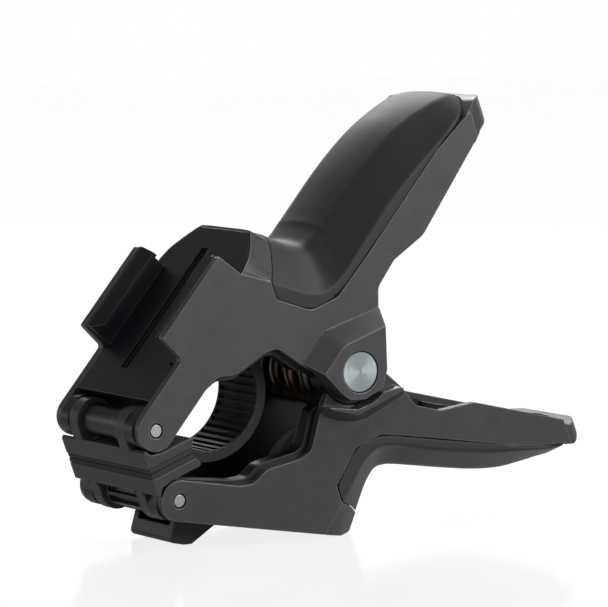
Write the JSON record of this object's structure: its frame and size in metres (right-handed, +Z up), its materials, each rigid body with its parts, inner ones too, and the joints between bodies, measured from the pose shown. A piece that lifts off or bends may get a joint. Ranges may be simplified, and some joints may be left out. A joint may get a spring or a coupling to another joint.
{
  "type": "spring clamp",
  "caption": "Spring-loaded squeeze clamp with pivoting jaw shoes, a curved ribbed finger for bars and a slide-in accessory rail on top.",
  "frame": {"origin": "middle of the footprint, on the surface the clamp rests on", "axes": "+X from the jaws towards the handles, +Y along the hinge shaft away from the near side, +Z up; the clamp rests on its tether foot and the heel of its lower arm"},
  "size_m": [0.1339, 0.0464, 0.1053],
  "materials": {
    "cover_upper": "satin moulded graphite grey",
    "cover_lower": "satin moulded dark graphite",
    "frame_black": "fine-grained moulded black",
    "deck_black": "satin moulded black",
    "grip_soft": "soft-touch overmould",
    "shoe_plastic": "fine-grained moulded dark grey",
    "pad_rubber": "moulded rubber, ribbed",
    "turned_steel": "turned face with fine concentric marks",
    "pin_steel": "ground steel",
    "spring_steel": "dark oil-tempered wire",
    "screw_steel": "zinc-plated",
    "bushing_bronze": "sintered bronze"
  },
  "bodies": {
    "lower_arm": {"lower_frame": "frame_black", "lower_cover_near": "cover_lower", "lower_cover_far": "cover_lower", "lower_grip": "grip_soft", "lower_deck": "deck_black", "tether_foot": "frame_black", "lower_cover_screws": "screw_steel", "pivot_bushings": "bushing_bronze", "torsion_spring": "spring_steel", "lower_jaw_pin": "pin_steel", "lower_hinge_sleeve": "deck_black"},
    "upper_arm": {"upper_frame": "frame_black", "upper_cover_near": "cover_upper", "upper_cover_far": "cover_upper", "upper_grip": "grip_soft", "rail_deck": "deck_black", "upper_cover_screws": "screw_steel", "pivot_shaft": "pin_steel", "pivot_head_near": "turned_steel", "pivot_head_far": "turned_steel", "spring_sleeve": "frame_black", "upper_jaw_pin": "pin_steel", "upper_hinge_sleeve": "deck_black"},
    "lower_jaw": {"lower_shoe": "shoe_plastic", "lower_pad": "pad_rubber"},
    "upper_jaw": {"upper_shoe": "shoe_plastic", "upper_pad": "pad_rubber"}
  },
  "joints": [
    {"name": "squeeze", "type": "hinge", "parent": "lower_arm", "child": "upper_arm", "pos_m": [-0.00753, 0, 0.04], "axis": [0, 1, 0], "range_deg": [0, 45], "stiffness_Nm_per_rad": 0.9, "springref_deg": -34.95, "deforming": ["torsion_spring"]},
    {"name": "lower_shoe_tilt", "type": "hinge", "parent": "lower_arm", "child": "lower_jaw", "pos_m": [-0.05556, 0, 0.01213], "axis": [0, 1, 0], "range_deg": [0, 22.5]},
    {"name": "upper_shoe_tilt", "type": "hinge", "parent": "upper_arm", "child": "upper_jaw", "pos_m": [-0.06195, 0, 0.02895], "axis": [0, 1, 0], "range_deg": [-22.5, 0]}
  ],
  "couplings": [
    {"joint": "lower_shoe_tilt", "follows": "squeeze", "ratio": 0.5},
    {"joint": "upper_shoe_tilt", "follows": "squeeze", "ratio": -0.5}
  ]
}
